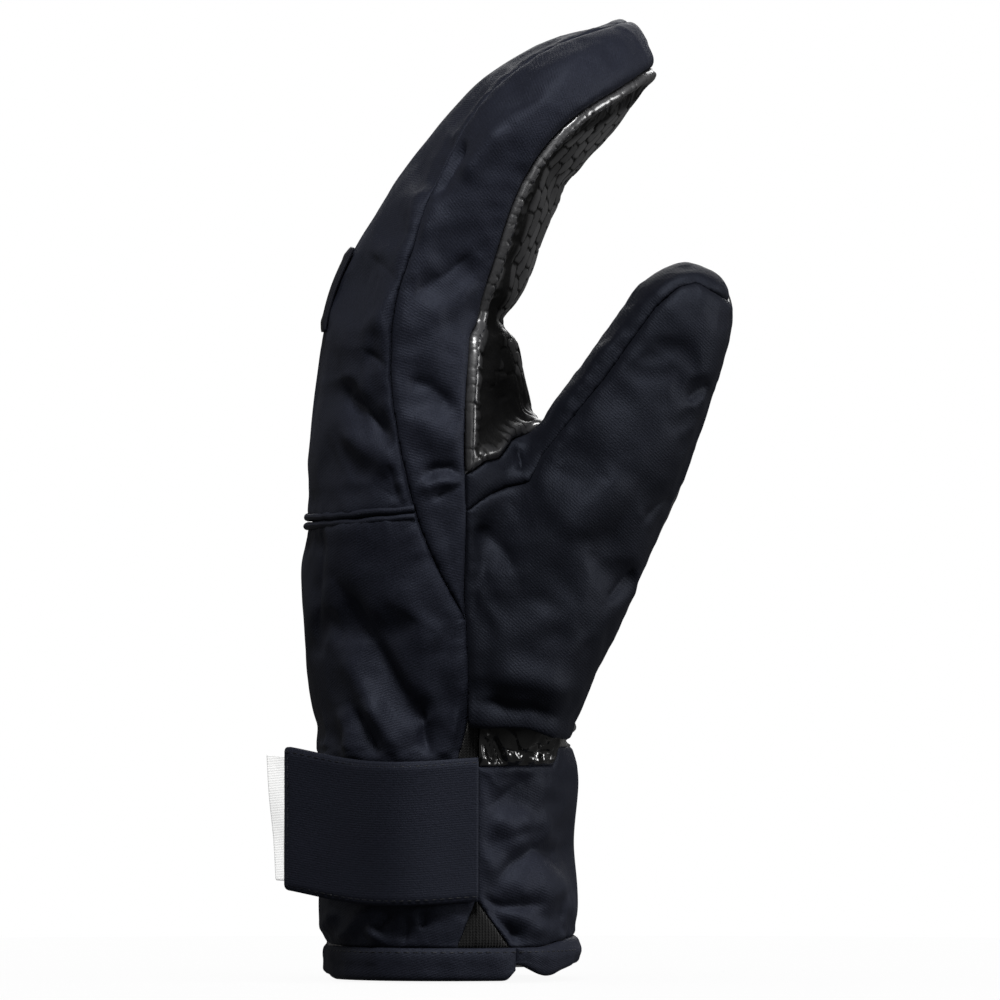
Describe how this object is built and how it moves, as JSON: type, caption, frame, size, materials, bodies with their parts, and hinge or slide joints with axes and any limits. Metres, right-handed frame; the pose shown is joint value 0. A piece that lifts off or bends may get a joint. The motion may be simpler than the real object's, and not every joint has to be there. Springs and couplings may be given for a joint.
{
  "type": "ski mitten",
  "caption": "Insulated winter sports mitten standing on its cuff: padded woven shell, scale-embossed leather palm, bending fingers and thumb, and a wrist strap that peels open.",
  "frame": {"origin": "middle of the bounding box, at the underside of the cuff hem", "axes": "+Z from the cuff to the fingertips, +X from the back of the hand to the palm, -Y to the thumb side"},
  "size_m": [0.126, 0.106, 0.2575],
  "materials": {
    "shell": "fine woven navy-black nylon, soft sheen",
    "leather": "black leather embossed with scales",
    "gathered_leather": "glossy gathered leather",
    "knit": "rib knit and elastic",
    "filling": "loose fibre wadding",
    "membrane": "thin waterproof film",
    "lining": "brushed fleece",
    "hook_and_loop": "woven tape",
    "label": "plain white woven tape",
    "patch": "smooth, plain"
  },
  "bodies": {
    "hand": {"lower_back_panel": "shell", "back_panel_hand": "shell", "thumb_side_strip": "shell", "outer_side_strip": "shell", "palm_leather_hand": "leather", "thumb_base_panel": "shell", "thumb_base_leather": "leather", "wrist_leather": "gathered_leather", "wrist_knit_gusset": "knit", "wrist_elastic": "knit", "cuff_back_panel": "shell", "cuff_palm_panel": "shell", "cuff_gusset": "knit", "cuff_back_hem": "shell", "cuff_palm_hem": "shell", "cuff_lining": "lining", "filling_back": "filling", "filling_palm": "filling", "membrane_hand": "membrane", "lining_hand": "lining", "upper_piping": "shell", "lower_piping": "shell", "back_patch": "patch", "loop_field": "hook_and_loop"},
    "fingers": {"back_panel_fingers": "shell", "side_strip_fingers": "shell", "palm_leather_fingers": "leather", "filling_fingers": "filling", "membrane_fingers": "membrane", "lining_fingers": "lining"},
    "thumb": {"thumb_outer_panel": "shell", "thumb_inner_strip": "shell", "thumb_leather": "leather", "filling_thumb": "filling", "membrane_thumb": "membrane", "lining_thumb": "lining"},
    "strap": {"strap": "shell", "strap_hook_tape": "hook_and_loop", "strap_label": "label"}
  },
  "joints": [
    {"name": "finger_flex", "type": "hinge", "parent": "hand", "child": "fingers", "pos_m": [0.0008, 0.0008, 0.1788], "axis": [0, 1, 0], "range_deg": [0, 30]},
    {"name": "thumb_flex", "type": "hinge", "parent": "hand", "child": "thumb", "pos_m": [0.0109, -0.0292, 0.1495], "axis": [0, -1, 0], "range_deg": [0, 12]},
    {"name": "strap_peel", "type": "hinge", "parent": "hand", "child": "strap", "pos_m": [-0.0057, -0.0455, 0.0412], "axis": [0, 0, 1], "range_deg": [0, 150]}
  ]
}
